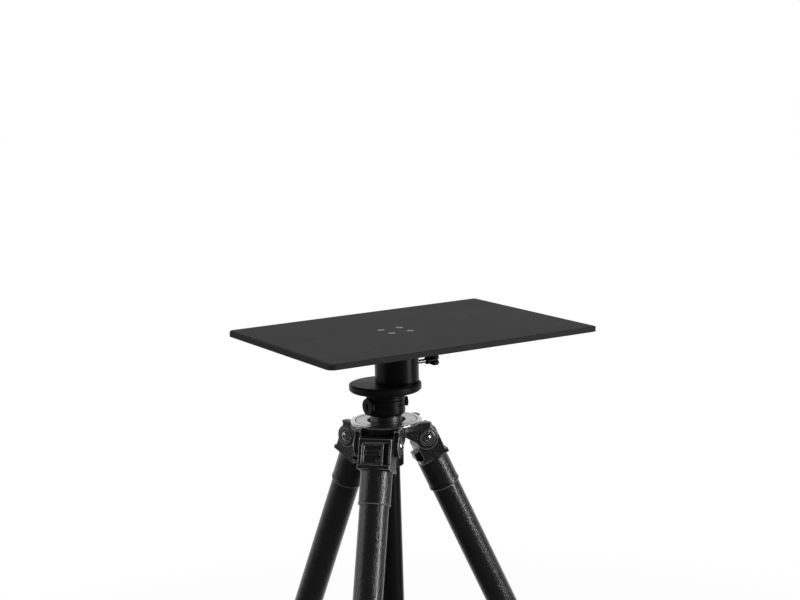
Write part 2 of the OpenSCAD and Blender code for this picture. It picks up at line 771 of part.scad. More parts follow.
// A sliding block with a tongue above and below, a sunk front, a bare pad and a dimple
module angle_latch(i) {
    height = latch_high - latch_low;
    face = latch_back + latch_t;
    border = 2;
    sunk = 1;
    pad_w = 16;
    pad_h = 5.6;
    pad_top = -7.5;
    middle = latch_left + latch_w / 2;
    color(dark_grey) at_leg(i) difference() {
        union() {
            difference() {
                translate([latch_back, latch_left, latch_low]) cube([latch_t, latch_w, height]);
                translate([face - sunk, latch_left + border, latch_low + border])
                    cube([2 * sunk, latch_w - 2 * border, height - 2 * border]);
            }
            translate([latch_back, latch_left, latch_low - tongue])
                cube([tongue_t, latch_w, height + 2 * tongue]);
            translate([face - 2 * sunk, middle - pad_w / 2, pad_top - pad_h])
                cube([1.7 * sunk, pad_w, pad_h]);
        }
        translate([face - 2 * sunk, middle + 6, -flange_drop + 5]) rotate([0, 90, 0])
            cylinder(r = 1.8, h = 2 * sunk);
    }
}

module upper_tube(i) {
    color(black) at_leg(i) translate([0, 0, -upper_end]) ring(upper_d / 2, upper_bore_r, upper_len);
}

module middle_tube(i) {
    color(black) at_leg(i) translate([0, 0, -middle_end])
        ring(middle_d / 2, middle_bore_r, middle_end - middle_top);
}

module lower_tube(i) {
    color(black) at_leg(i) translate([0, 0, -lower_end])
        ring(lower_d / 2, lower_bore_r, lower_end - lower_top);
}

// A split ring that the lock squeezes on to the inner tube
module collet(outer_tube_d, inner_tube_d, length) {
    difference() {
        ring(outer_tube_d / 2 - 0.1, inner_tube_d / 2 + run_gap, length);
        translate([0, -0.6, -sit]) cube([outer_tube_d, 1.2, length + 2 * sit]);
    }
}

module upper_collet(i) {
    length = upper_lock_end - lip_t - 0.5 - upper_end;
    color(nylon) at_leg(i) translate([0, 0, -upper_end - length]) collet(upper_d, middle_d, length);
}

module lower_collet(i) {
    length = lower_lock_end - lip_t - 0.5 - middle_end;
    color(nylon) at_leg(i) translate([0, 0, -middle_end - length]) collet(middle_d, lower_d, length);
}

// A twist lock with a thick grip, a plain collar above and a tapered end below
module twist_lock(outer_d, length, outer_tube_d, inner_tube_d) {
    r = outer_d / 2;
    neck_r = outer_tube_d / 2 + 1.8;
    difference() {
        rotate_extrude()
            polygon([[0, 0], [r - 3, 0], [r - 0.8, 4], [r, 6], [r, length - 8], [r - 1, length - 6.5],
                [neck_r, length - 6], [neck_r, length - 0.6], [neck_r - 0.6, length], [0, length]]);
        translate([0, 0, lip_t]) cylinder(r = outer_tube_d / 2 + run_gap, h = length);
        translate([0, 0, -sit]) cylinder(r = inner_tube_d / 2 + free_gap, h = length);
    }
}

module upper_lock(i) {
    color(dark_grey) at_leg(i) translate([0, 0, -upper_lock_end])
        twist_lock(upper_lock_d, upper_lock_len, upper_d, middle_d);
}

module lower_lock(i) {
    color(dark_grey) at_leg(i) translate([0, 0, -lower_lock_end])
        twist_lock(lower_lock_d, lower_lock_len, middle_d, lower_d);
}

module foot(i) {
    neck_r = lower_d / 2 + 2.4;
    color(rubber) at_leg(i) difference() {
        union() {
            translate([0, 0, -leg_length]) sphere(foot_r);
            translate([0, 0, -leg_length + foot_r * 0.6])
                cylinder(r1 = foot_r * 0.8, r2 = neck_r, h = foot_len - foot_r * 0.6 - 8);
            translate([0, 0, -foot_top - 8]) bevelled_disc(neck_r, 8, 0.1, 1);
            for (drop = [9, 14, 19])
                translate([0, 0, -foot_top - drop]) bevelled_disc(neck_r + 0.8, 2.4, 0.6, 0.6);
        }
        translate([0, 0, -lower_end]) cylinder(r = lower_d / 2, h = foot_socket + sit);
    }
}

tabletop();
receiver_boss();
boss_screws();
thread_insert();
thumbscrew_rod();
thumbscrew_knob();
head_plate();
anti_twist_plate();
anti_twist_screws();
head_bolt();
column_fitting();
column_tube();
column_cap();
clamp_sleeve();
clamp_collar();
clamp_shoe();
column_lock_screw();
column_lock_knob();
drag_screw();
collar_neck();
crown_ring();
crown_plate();
spider();
column_sleeve();
sleeve_bush();
hinge_bolts();
hinge_nuts();
for (i = [0:2]) {
    leg_head(i);
    upper_tube(i);
    upper_collet(i);
    angle_latch(i);
    upper_lock(i);
    middle_tube(i);
    lower_collet(i);
    lower_lock(i);
    lower_tube(i);
    foot(i);
}
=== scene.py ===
import math

import bpy
from mathutils import Matrix, Vector


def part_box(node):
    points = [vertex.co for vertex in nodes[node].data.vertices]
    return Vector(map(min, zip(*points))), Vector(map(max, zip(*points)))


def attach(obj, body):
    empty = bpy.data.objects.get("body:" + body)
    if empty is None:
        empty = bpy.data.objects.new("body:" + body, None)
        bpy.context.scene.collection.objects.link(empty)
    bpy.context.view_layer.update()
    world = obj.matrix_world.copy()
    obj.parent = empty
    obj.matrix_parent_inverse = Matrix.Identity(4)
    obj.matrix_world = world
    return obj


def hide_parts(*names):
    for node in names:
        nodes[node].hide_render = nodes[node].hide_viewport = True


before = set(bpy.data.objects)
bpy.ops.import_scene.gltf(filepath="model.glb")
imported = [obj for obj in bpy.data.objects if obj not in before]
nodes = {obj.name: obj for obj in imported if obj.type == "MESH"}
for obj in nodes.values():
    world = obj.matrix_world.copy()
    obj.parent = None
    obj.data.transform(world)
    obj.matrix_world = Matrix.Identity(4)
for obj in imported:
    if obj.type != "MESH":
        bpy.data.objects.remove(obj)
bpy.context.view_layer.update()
print("frame loaded:", len(nodes), "nodes")

mm = 0.001
legNames = ["front", "right", "rear"]

# where the stand's axis, crown and hinges are, read from the frame
crownLow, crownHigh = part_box("crown_ring")
axisX = (crownLow.x + crownHigh.x) / 2
axisY = (crownLow.y + crownHigh.y) / 2
crownTop = crownHigh.z
stand = {
    "hingeOut": 40 * mm,  # hinge distance from the axis
    "hingeDrop": 20.5 * mm,  # hinge below the crown's top
    "lean": 24,  # degrees from upright
    "legTurns": {"front": 226, "right": 346, "rear": 106},
}
hingeHeight = crownTop - stand["hingeDrop"]
toAxis = Matrix.Translation((axisX, axisY, 0))


def legFrame(leg):
    turn = Matrix.Rotation(math.radians(stand["legTurns"][leg]), 4, "Z")
    hinge = Matrix.Translation((stand["hingeOut"], 0, hingeHeight))
    lean = Matrix.Rotation(math.radians(-stand["lean"]), 4, "Y")
    return toAxis @ turn @ hinge @ lean


# shader maths


class Value:
    def __init__(self, owner, socket):
        self.owner = owner
        self.socket = socket

    def maths(self, operation, first, second):
        return self.owner.node("ShaderNodeMath", {"operation": operation}, {0: first, 1: second})

    def __add__(self, other):
        return self.maths("ADD", self, other)

    def __sub__(self, other):
        return self.maths("SUBTRACT", self, other)

    def __rsub__(self, other):
        return self.maths("SUBTRACT", other, self)

    def __mul__(self, other):
        return self.maths("MULTIPLY", self, other)

    __radd__ = __add__

    def above(self, low, high):  # 0 under low, 1 over high
        return self.owner.node(
            "ShaderNodeMapRange", {"interpolation_type": "SMOOTHSTEP"},
            {"Value": self, "From Min": low, "From Max": high},
        )


class Nodes:
    def __init__(self, tree):
        self.tree = tree

    def node(self, kind, settings=None, inputs=None, output=0):
        made = self.tree.nodes.new(kind)
        for name, setting in (settings or {}).items():
            setattr(made, name, setting)
        for name, given in (inputs or {}).items():
            if isinstance(given, Value):
                self.tree.links.new(given.socket, made.inputs[name])
            else:
                made.inputs[name].default_value = given
        return Value(self, made.outputs[output])


class Finish(Nodes):
    def __init__(self, name, **fixed):
        self.material = bpy.data.materials.new(name)
        self.material.use_nodes = True
        super().__init__(self.material.node_tree)
        self.tree.nodes.clear()
        self.shader = self.tree.nodes.new("ShaderNodeBsdfPrincipled")
        result = self.tree.nodes.new("ShaderNodeOutputMaterial")
        self.tree.links.new(self.shader.outputs[0], result.inputs["Surface"])
        for socket, number in fixed.items():
            self.set(socket, number)
        self.place = self.node("ShaderNodeTexCoord", output="Object")

    def set(self, socket, given):
        name = socket.replace("_", " ")
        if isinstance(given, Value):
            self.tree.links.new(given.socket, self.shader.inputs[name])
        else:
            self.shader.inputs[name].default_value = given

    def noise(self, scale, detail=3, at=None, roughness=0.55):
        return self.node(
            "ShaderNodeTexNoise", None,
            {"Vector": at or self.place, "Scale": scale, "Detail": detail, "Roughness": roughness},
        )

    def cells(self, scale, smooth):
        return self.node(
            "ShaderNodeTexVoronoi", {"feature": "SMOOTH_F1"},
            {"Vector": self.place, "Scale": scale, "Smoothness": smooth},
        )

    def mix(self, share, first, second):  # colours
        made = self.tree.nodes.new("ShaderNodeMix")
        made.data_type = "RGBA"
        for index, given in ((0, share), (6, first), (7, second)):
            if isinstance(given, Value):
                self.tree.links.new(given.socket, made.inputs[index])
            else:
                made.inputs[index].default_value = given
        return Value(self, made.outputs[2])

    def bump(self, height, strength, distance):
        inputs = {"Height": height, "Strength": strength, "Distance": distance}
        return self.node("ShaderNodeBump", None, inputs, output="Normal")

    def fromAxis(self):  # a place measured from the stand's axis
        return self.node("ShaderNodeMapping", None, {"Vector": self.place, "Location": (-axisX, -axisY, 0)})

    def parts(self, vector):  # x, y and z of a place
        made = self.tree.nodes.new("ShaderNodeSeparateXYZ")
        self.tree.links.new(vector.socket, made.inputs[0])
        return [Value(self, made.outputs[i]) for i in range(3)]

    def radius(self, vector):  # distance from an upright axis
        x, y, z = self.parts(vector)
        return self.node("ShaderNodeMath", {"operation": "SQRT"}, {0: x * x + y * y}), z

    def stretched(self, x, y, z):  # a place squeezed along the three axes
        return self.node("ShaderNodeCombineXYZ", None, {0: x, 1: y, 2: z})


def grey(level, warm=0.0):
    return (level + warm, level, level - warm, 1)


def tablePowder():  # fine wrinkle powder coat
    paint = Finish("table_powder", Specular_IOR_Level=0.06)
    wrinkle = paint.cells(780, 0.7) * 0.6 + paint.noise(1500, 4) * 0.4
    cloud = paint.noise(14, 3)
    rub = paint.noise(70, 5, roughness=0.7).above(0.60, 0.74)
    speck = paint.noise(520, 2).above(0.68, 0.74)
    base = paint.mix(cloud, grey(0.017), grey(0.024))
    base = paint.mix(rub * 0.3, base, grey(0.04))
    paint.set("Base Color", paint.mix(speck * 0.35, base, grey(0.06)))
    paint.set("Roughness", 0.5 + cloud * 0.08 + wrinkle * 0.08 - rub * 0.1)
    paint.set("Normal", paint.bump(wrinkle, 0.55, 0.16 * mm))
    return paint.material


def satinBlack(name="satin_black", level=0.0035, rough=0.27, shine=0.2):  # black anodised, turned
    paint = Finish(name, Specular_IOR_Level=shine)
    reach, height = paint.radius(paint.fromAxis())
    turning = paint.noise(1.0, 2, at=paint.stretched(reach * 2600, 0.0, height * 2600))
    cloud = paint.noise(45, 3)
    wear = paint.noise(160, 5, roughness=0.75).above(0.64, 0.74)
    base = paint.mix(cloud, grey(level * 0.8), grey(level * 1.4))
    paint.set("Base Color", paint.mix(wear * 0.25, base, grey(0.03)))
    paint.set("Roughness", rough + cloud * 0.08 + turning * 0.05 + wear * 0.08)
    paint.set("Normal", paint.bump(turning, 0.12, 0.03 * mm))
    return paint.material


def drawnBlack():  # black anodised tube, drawn lengthwise
    paint = Finish("drawn_black", Specular_IOR_Level=0.3)
    grain = paint.noise(900, 3)
    cloud = paint.noise(30, 3)
    scuff = paint.noise(220, 6, roughness=0.8).above(0.66, 0.75)
    base = paint.mix(cloud, grey(0.004), grey(0.007))
    paint.set("Base Color", paint.mix(scuff * 0.3, base, grey(0.035)))
    paint.set("Roughness", 0.27 + cloud * 0.07 + grain * 0.05)
    paint.set("Normal", paint.bump(grain, 0.1, 0.03 * mm))
    return paint.material


# glossy hammered enamel, worn at its edges where worn is set
def hammeredBlack(name="hammered_black", worn=True, cell=560):
    paint = Finish(name, Specular_IOR_Level=0.45, Coat_Roughness=0.16)
    dents = paint.cells(cell, 0.55)
    ripple = paint.noise(cell * 0.55, 2)
    cloud = paint.noise(38, 3)
    surface = dents * 0.65 + ripple * 0.5
    base = paint.mix(cloud, grey(0.005), grey(0.01))
    rough = 0.26 + cloud * 0.08
    if worn:
        ridge = paint.node("ShaderNodeNewGeometry", output="Pointiness").above(0.512, 0.56)
        chips = ridge * paint.noise(330, 5, roughness=0.7).above(0.3, 0.52)
        base = paint.mix(chips * 0.85, base, grey(0.5))
        paint.set("Metallic", chips * 0.8)
        rough = rough + chips * 0.12
    dust = paint.noise(120, 6, roughness=0.8).above(0.6, 0.8)
    paint.set("Base Color", paint.mix(dust * 0.15, base, grey(0.05)))
    paint.set("Roughness", rough + dust * 0.1)
    paint.set("Coat Weight", 0.25 - dust * 0.2)
    paint.set("Normal", paint.bump(surface, 0.9, 0.7 * mm))
    return paint.material


def turnedSilver(name, level, rough, groove):  # bright metal turned round the stand's axis
    paint = Finish(name, Metallic=1.0)
    reach, height = paint.radius(paint.fromAxis())
    fine = paint.noise(1.0, 2, at=paint.stretched(reach * 3800, 0.0, height * 3800))
    broad = paint.noise(1.0, 3, at=paint.stretched(reach * 700, 0.0, height * 700))
    smudge = paint.noise(60, 4)
    pits = paint.noise(900, 2).above(0.7, 0.76)
    base = paint.mix(broad, grey(level * 0.88), grey(level))
    base = paint.mix(smudge.above(0.5, 0.75) * 0.25, base, grey(level * 0.72))
    paint.set("Base Color", paint.mix(pits * 0.4, base, grey(level * 0.4)))
    paint.set("Roughness", rough + smudge * 0.1 + fine * 0.06)
    paint.set("Normal", paint.bump(fine * 0.6 + broad * 0.4, groove, 0.04 * mm))
    return paint.material


def metal(name, level, rough, warm=0.0, grain=700):  # plain screws, bolts, inserts
    paint = Finish(name, Metallic=1.0)
    haze = paint.noise(140, 4)
    scratch = paint.noise(grain, 5, roughness=0.75)
    spots = scratch.above(0.62, 0.72)
    base = paint.mix(haze, grey(level * 0.86, warm * 0.8), grey(level, warm))
    paint.set("Base Color", paint.mix(spots * 0.35, base, grey(level * 0.5, warm * 0.5)))
    paint.set("Roughness", rough + haze * 0.08 + spots * 0.1)
    paint.set("Normal", paint.bump(scratch, 0.1, 0.03 * mm))
    return paint.material


def moulded(name, level, rough, grain, depth, specular=0.4):  # moulded plastic and rubber
    paint = Finish(name, Specular_IOR_Level=specular)
    pebble = paint.cells(grain, 0.6) * 0.5 + paint.noise(grain * 1.7, 4) * 0.5
    cloud = paint.noise(50, 3)
    dust = paint.noise(180, 6, roughness=0.8).above(0.58, 0.75)
    base = paint.mix(cloud, grey(level * 0.85), grey(level * 1.2))
    paint.set("Base Color", paint.mix(dust * 0.3, base, grey(level * 2.2 + 0.01)))
    paint.set("Roughness", rough + cloud * 0.06 + dust * 0.08)
    paint.set("Normal", paint.bump(pebble, 0.35, depth * mm))
    return paint.material


finishes = {
    "table_black": tablePowder(),
    "satin_black": satinBlack(),
    "plate_black": satinBlack("plate_black", 0.004, 0.34, 0.12),
    "gloss_black": satinBlack("gloss_black", 0.004, 0.3, 0.04),
    "drawn_black": drawnBlack(),
    "hammered_black": hammeredBlack(),
    "hammered_tube": hammeredBlack("hammered_tube", worn=False, cell=620),
    "bright_silver": turnedSilver("bright_silver", 0.56, 0.16, 0.14),
    "plate_silver": turnedSilver("plate_silver", 0.4, 0.2, 0.16),
    # the neck's low level is partly its own dark steel and partly painted shade for the inside of the crown's well
    "neck_steel_and_painted_shade": turnedSilver("neck_steel_and_painted_shade", 0.13, 0.3, 0.3),
    "dark_chrome": metal("dark_chrome", 0.42, 0.1, grain=500),
    "steel": metal("steel", 0.5, 0.26),
    "black_steel": metal("black_steel", 0.09, 0.28),
    "brass": metal("brass", 0.55, 0.25, warm=0.13),
    "knob_black": moulded("knob_black", 0.003, 0.3, 900, 0.05, specular=0.18),
    "nylon": moulded("nylon", 0.05, 0.45, 1100, 0.05),
    "grip_rubber": moulded("grip_rubber", 0.016, 0.62, 1300, 0.12, specular=0.3),
}
print("finishes made:", len(finishes))

# modelling helpers


def clearSelection():
    if bpy.context.object and bpy.context.object.mode != "OBJECT":
        bpy.ops.object.mode_set(mode="OBJECT")
    bpy.ops.object.select_all(action="DESELECT")


def takeUp(piece):
    clearSelection()
    piece.select_set(True)
    bpy.context.view_layer.objects.active = piece


def editAll(piece):
    takeUp(piece)
    bpy.ops.object.mode_set(mode="EDIT")
    bpy.ops.mesh.select_mode(type="VERT")
    bpy.ops.mesh.select_all(action="SELECT")


def editWhere(piece, test, mode="FACE"):  # selects faces or corners by their place
    takeUp(piece)
    bpy.ops.object.mode_set(mode="EDIT")
    bpy.ops.mesh.select_mode(type=mode)
    bpy.ops.mesh.select_all(action="DESELECT")
    bpy.ops.object.mode_set(mode="OBJECT")
    mesh = piece.data
    if mode == "FACE":
        for face in mesh.polygons:
            face.select = test(face.center)
    else:
        for corner in mesh.vertices:
            corner.select = test(corner.co)
    bpy.ops.object.mode_set(mode="EDIT")


def leaveEdit():
    bpy.ops.object.mode_set(mode="OBJECT")


def applied(piece, kind, **settings):
    takeUp(piece)
    changer = piece.modifiers.new(kind.lower(), kind)
    for name, setting in settings.items():
        setattr(changer, name, setting)
    bpy.ops.object.modifier_apply(modifier=changer.name)


def softened(piece, width, segments=2, angle=30):
    applied(
        piece, "BEVEL", width=width, segments=segments, limit_method="ANGLE",
        angle_limit=math.radians(angle), use_clamp_overlap=False, miter_outer="MITER_ARC",
    )


def smoothed(piece, angle=38):
    takeUp(piece)
    bpy.ops.object.shade_smooth_by_angle(angle=math.radians(angle))


def flatFaced(piece, angle=38):  # rounded edges between faces that stay flat
    smoothed(piece, angle)
    applied(piece, "WEIGHTED_NORMAL", keep_sharp=True, weight=100)


def moved(piece, matrix):
    piece.data.transform(matrix)
    piece.data.update()
    return piece


def copied(piece, name):
    other = bpy.data.objects.new(name, piece.data.copy())
    bpy.context.scene.collection.objects.link(other)
    return other


def copyOfNode(node, name):  # the CAD solid as a clean mesh
    other = bpy.data.objects.new(name, nodes[node].data.copy())
    bpy.context.scene.collection.objects.link(other)
    editAll(other)
    bpy.ops.mesh.remove_doubles(threshold=0.002 * mm)
    bpy.ops.mesh.dissolve_limited(angle_limit=math.radians(0.2))
    leaveEdit()
    return other


def dressed(piece, finish, body, node):  # gives the finish, and takes the CAD node's place on its body
    piece.data.materials.clear()
    piece.data.materials.append(finishes[finish])
    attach(piece, body)
    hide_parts(node)
    return piece


def turned(name, outline, steps=96, matrix=toAxis):  # spins a list of (radius, height) round the upright axis
    clearSelection()
    radius, height = outline[0]
    bpy.ops.mesh.primitive_plane_add(size=mm)
    piece = bpy.context.active_object
    piece.name = name
    editAll(piece)
    bpy.ops.mesh.merge(type="CENTER")
    bpy.ops.transform.translate(value=(radius, 0, height))
    for nextRadius, nextHeight in outline[1:]:
        step = (nextRadius - radius, 0, nextHeight - height)
        bpy.ops.mesh.extrude_region_move(TRANSFORM_OT_translate={"value": step})
        radius, height = nextRadius, nextHeight
    bpy.ops.mesh.select_all(action="SELECT")
    bpy.ops.mesh.spin(steps=steps, angle=math.tau, center=(0, 0, 0), axis=(0, 0, 1))
    bpy.ops.mesh.select_all(action="SELECT")
    bpy.ops.mesh.remove_doubles(threshold=0.001 * mm)
    bpy.ops.mesh.normals_make_consistent(inside=False)
    leaveEdit()
    return moved(piece, matrix)


def cast(name, node, voxel, rounds, matrix=None):  # the solid with a casting's soft corners
    piece = copyOfNode(node, name)
    if matrix:
        moved(piece, matrix)
    applied(piece, "REMESH", mode="VOXEL", voxel_size=voxel, adaptivity=0.0)
    applied(piece, "SMOOTH", factor=0.5, iterations=rounds)
    return piece


# the table and its boss

table = {"edge": 0.35 * mm}

tableTop = copyOfNode("tabletop", "tableTop")
softened(tableTop, table["edge"], 3, 25)
flatFaced(tableTop)
dressed(tableTop, "table_black", "column", "tabletop")

boss = copyOfNode("receiver_boss", "receiverBoss")
softened(boss, table["edge"])
flatFaced(boss)
dressed(boss, "satin_black", "column", "receiver_boss")
print("table made")

# the thumbscrew

thumb = {"edge": 0.45 * mm}
knob = copyOfNode("thumbscrew_knob", "thumbKnob")
softened(knob, thumb["edge"])
smoothed(knob)
dressed(knob, "knob_black", "thumbscrew", "thumbscrew_knob")
print("thumbscrew made")

# the column's head and clamp

clamp = {"edge": 0.3 * mm, "fineEdge": 0.2 * mm}
for node, name, finish, body, slot in (
    ("head_plate", "headPlate", "plate_black", "column", "satin_black"),
    ("anti_twist_plate", "antiTwistPlate", "gloss_black", "column", "satin_black"),
    ("column_fitting", "columnFitting", "satin_black", "column", "satin_black"),
    ("column_cap", "columnCap", "satin_black", "column", "satin_black"),
    ("clamp_collar", "clampCollar", "satin_black", "stand", "satin_black"),
    ("column_sleeve", "columnSleeve", "satin_black", "stand", "satin_black"),
    ("column_lock_knob", "lockKnob", "knob_black", "column_lock", "knob_black"),
    ("drag_screw", "dragScrew", "black_steel", "drag_adjuster", "black_steel"),
):
    piece = copyOfNode(node, name)
    softened(piece, clamp["fineEdge"] if node == "drag_screw" else clamp["edge"])
    flatFaced(piece)
    dressed(piece, finish, body, node)
print("column's head and clamp made")

# the crown, where plain numbers are millimetres, as in all outlines below

crown = {
    "outer": 40.5, "grooveOut": 35.5, "grooveIn": 34.5, "well": 22.0, "ring": 3.0, "edge": 0.2 * mm,
    "neck": 18.0, "neckBore": 16.0, "beadFloor": 17.35, "beadStep": 2.0, "neckEdge": 0.15 * mm,
    "rim": 5.5, "rimIn": 30.0, "rimBead": 39.6, "rimEdge": 0.12 * mm,
    # the spider's casting, and its own rim, which is drawn in under the crisp one
    "voxel": 0.75 * mm, "rounds": 5, "castIn": 30.0 * mm, "castOut": 40.8 * mm, "castShrink": 0.955,
}
base = crownTop / mm - crown["ring"]  # underside of the two crown plates

outline = [  # a fine ring is cut into each plate
    (crown["grooveOut"], 0), (crown["outer"], 0), (crown["outer"], 2.2), (crown["outer"] - 0.8, 3.0),
    (38.6, 3.0), (38.45, 2.85), (38.3, 3.0), (crown["grooveOut"], 3.0), (crown["grooveOut"], 0),
]
crownRing = turned("crownRing", [(r * mm, (base + z) * mm) for r, z in outline], 144)
softened(crownRing, crown["edge"])
smoothed(crownRing)
dressed(crownRing, "bright_silver", "stand", "crown_ring")

outline = [
    (crown["well"], 0), (crown["grooveIn"], 0), (crown["grooveIn"], 2.8), (30.2, 2.8), (30.0, 2.6),
    (29.8, 2.8), (crown["well"], 2.8), (crown["well"], 0),
]
crownPlate = turned("crownPlate", [(r * mm, (base + z) * mm) for r, z in outline], 144)
softened(crownPlate, crown["edge"])
smoothed(crownPlate)
dressed(crownPlate, "plate_silver", "stand", "crown_plate")

neckLow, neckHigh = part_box("collar_neck")
skin, bore, floorOfBead = crown["neck"], crown["neckBore"], crown["beadFloor"]
outline = [(bore, neckLow.z / mm), (skin, neckLow.z / mm)]
level = crownTop / mm - 5.2
while level < neckHigh.z / mm - 1.6:  # rounded beads
    outline += [(skin, level), (floorOfBead, level + 0.35), (floorOfBead, level + 0.75), (skin, level + 1.1)]
    level += crown["beadStep"]
outline += [(skin, neckHigh.z / mm), (bore, neckHigh.z / mm), (bore, neckLow.z / mm)]
neck = turned("collarNeck", [(r * mm, z * mm) for r, z in outline])
softened(neck, crown["neckEdge"])
smoothed(neck, 50)
# the neck's finish is dark steel that also carries painted shade for the crown's well
dressed(neck, "neck_steel_and_painted_shade", "stand", "collar_neck")

# the dark rim with its beads, crisp, over the cast spider
rimLow = base - crown["rim"]
outer, inner, deep = crown["outer"], crown["rimIn"], crown["rimBead"]
outline = [(inner, rimLow), (outer - 1.0, rimLow), (outer, rimLow + 0.6)]
for bead in (1, 2):
    at = rimLow + crown["rim"] / 3 * bead
    outline += [(outer, at - 0.35), (outer - 0.3, at), (deep, at)]
    outline += [(deep, at + 0.5), (outer - 0.3, at + 0.5), (outer, at + 0.85)]
outline += [(outer, base - 0.3), (outer - 0.2, base), (inner, base), (inner, rimLow)]
crownRim = turned("crownRim", [(r * mm, z * mm) for r, z in outline], 144)
softened(crownRim, crown["rimEdge"])
smoothed(crownRim, 45)
dressed(crownRim, "hammered_tube", "stand", "spider")

spider = cast("legSpider", "spider", crown["voxel"], crown["rounds"])
rimFloor = (rimLow - 0.4) * mm


def insideRim(place):
    reach = math.hypot(place.x - axisX, place.y - axisY)
    return place.z > rimFloor and crown["castIn"] < reach < crown["castOut"]


editWhere(spider, insideRim, "VERT")
shrink = crown["castShrink"]
bpy.ops.transform.resize(value=(shrink, shrink, 1), center_override=(axisX, axisY, crownTop))
leaveEdit()
smoothed(spider, 60)
dressed(spider, "hammered_black", "stand", "spider")
print("crown made")

# the raised rings round the hinge bolts, and the bolts' sockets
hinge = {
    "ear": 25.7, "ringOut": 9.2, "ringIn": 5.0, "ringHigh": 0.8,  # the ear's outer face and its raised ring
    "domeHigh": 2.6, "socket": 2.5, "socketDeep": 1.7,  # the bolt's dome and its hex socket
    "boltSide": 90, "nutSide": -90, "edge": 0.12 * mm,
}
top = hinge["ear"] + hinge["ringHigh"]
sunk = hinge["ear"] - 0.4
outline = [
    (hinge["ringIn"], sunk), (hinge["ringOut"], sunk), (hinge["ringOut"], top - 0.3), (hinge["ringOut"] - 0.3, top),
    (7.2, top), (6.9, top - 0.5), (6.1, top - 0.5), (5.9, top - 0.05), (hinge["ringIn"], top - 0.05),
    (hinge["ringIn"], sunk),
]
earRing = turned("earRing", [(r * mm, z * mm) for r, z in outline], 64, Matrix.Identity(4))
softened(earRing, hinge["edge"])
smoothed(earRing, 50)


def boltFrame(leg, side):  # its z runs out of the ear along the bolt
    upright = legFrame(leg) @ Matrix.Rotation(math.radians(stand["lean"]), 4, "Y")
    return upright @ Matrix.Rotation(math.radians(hinge[side]), 4, "X")


for leg in legNames:
    for side, letter in (("boltSide", "A"), ("nutSide", "B")):
        ring = moved(copied(earRing, "earRing" + leg.capitalize() + letter), boltFrame(leg, side))
        dressed(ring, "hammered_black", "stand", "spider")
bpy.data.objects.remove(earRing)

for node, name, side in (("hinge_bolts", "boltHeads", "boltSide"), ("hinge_nuts", "boltNuts", "nutSide")):
    heads = copyOfNode(node, name)
    for leg in legNames:
        clearSelection()
        bpy.ops.mesh.primitive_cylinder_add(vertices=6, radius=hinge["socket"] * mm, depth=6 * mm)
        cutter = bpy.context.active_object
        lift = Matrix.Translation((0, 0, (top + hinge["domeHigh"] - hinge["socketDeep"] + 3) * mm))
        moved(cutter, boltFrame(leg, side) @ lift)
        applied(heads, "BOOLEAN", operation="DIFFERENCE", object=cutter, solver="EXACT")
        bpy.data.objects.remove(cutter)
    smoothed(heads, 30)
    dressed(heads, "dark_chrome", "stand", node)
print("hinges made")

# the legs

toLeg = legFrame("front").inverted()


# a piece made upright at the hinge, set on all three legs
def onEachLeg(first, bodyStem, finish, nodeStem, name):
    for leg in legNames:
        piece = copied(first, name + leg.capitalize())
        moved(piece, legFrame(leg))
        dressed(piece, finish, bodyStem + "_" + leg, nodeStem + "_" + leg)
    bpy.data.objects.remove(first)


castings = {
    "legHead": {"node": "leg_head", "body": "leg", "voxel": 0.7 * mm, "rounds": 3},
    "angleLatch": {"node": "angle_latch", "body": "latch", "voxel": 0.32 * mm, "rounds": 2},
}
for name, casting in castings.items():
    piece = cast(name, casting["node"] + "_front", casting["voxel"], casting["rounds"], toLeg)
    smoothed(piece, 60)
    onEachLeg(piece, casting["body"], "hammered_black", casting["node"], name)

# the pressed strips of the twist locks
rib = {"inset": 0.5 * mm, "deep": 1.1 * mm, "edge": 0.3 * mm}


# a twist lock's grip, ribbed by pressing half of each strip in
def twistLock(name, outer, length, tube, inner, strips, down):
    skin, seat, bore = outer / 2, tube / 2, inner / 2 + 0.3
    outline = [
        (bore, 0), (skin - 3, 0), (skin - 1.4, 2.2), (skin - 0.8, 4), (skin, 6),
        (skin, length - 9), (skin - 0.4, length - 7.6), (skin - 1, length - 6.6), (seat + 1.8, length - 6),
        (seat + 1.8, length - 0.8), (seat + 1.4, length), (seat + 0.05, length),
        (seat + 0.05, 3), (bore, 3), (bore, 0),
    ]
    lift = Matrix.Translation((0, 0, -down * mm))
    grip = turned(name, [(r * mm, z * mm) for r, z in outline], strips * 4, lift)
    low, high = (6 - down) * mm, (length - 9 - down) * mm
    edge = (skin - 0.5) * mm

    def groove(place):
        quarter = int(math.degrees(math.atan2(place.y, place.x)) % 360 / (360 / strips / 4))
        out = math.hypot(place.x, place.y)
        return low < place.z < high and out > edge and quarter % 4 in (0, 1)

    editWhere(grip, groove)
    bpy.ops.mesh.inset(thickness=rib["inset"], depth=-rib["deep"], use_even_offset=True)
    leaveEdit()
    softened(grip, rib["edge"], 2, 32)
    smoothed(grip, 45)
    return grip


locks = {
    "upper": {"outer": 40, "length": 44, "tube": 32.8, "inner": 28, "strips": 18, "down": 484},
    "lower": {"outer": 35.4, "length": 40, "tube": 28, "inner": 24, "strips": 16, "down": 788},
}
for which, size in locks.items():
    grip = twistLock(which + "Lock", **size)
    onEachLeg(grip, which + "_lock", "grip_rubber", which + "_lock", which + "Lock")

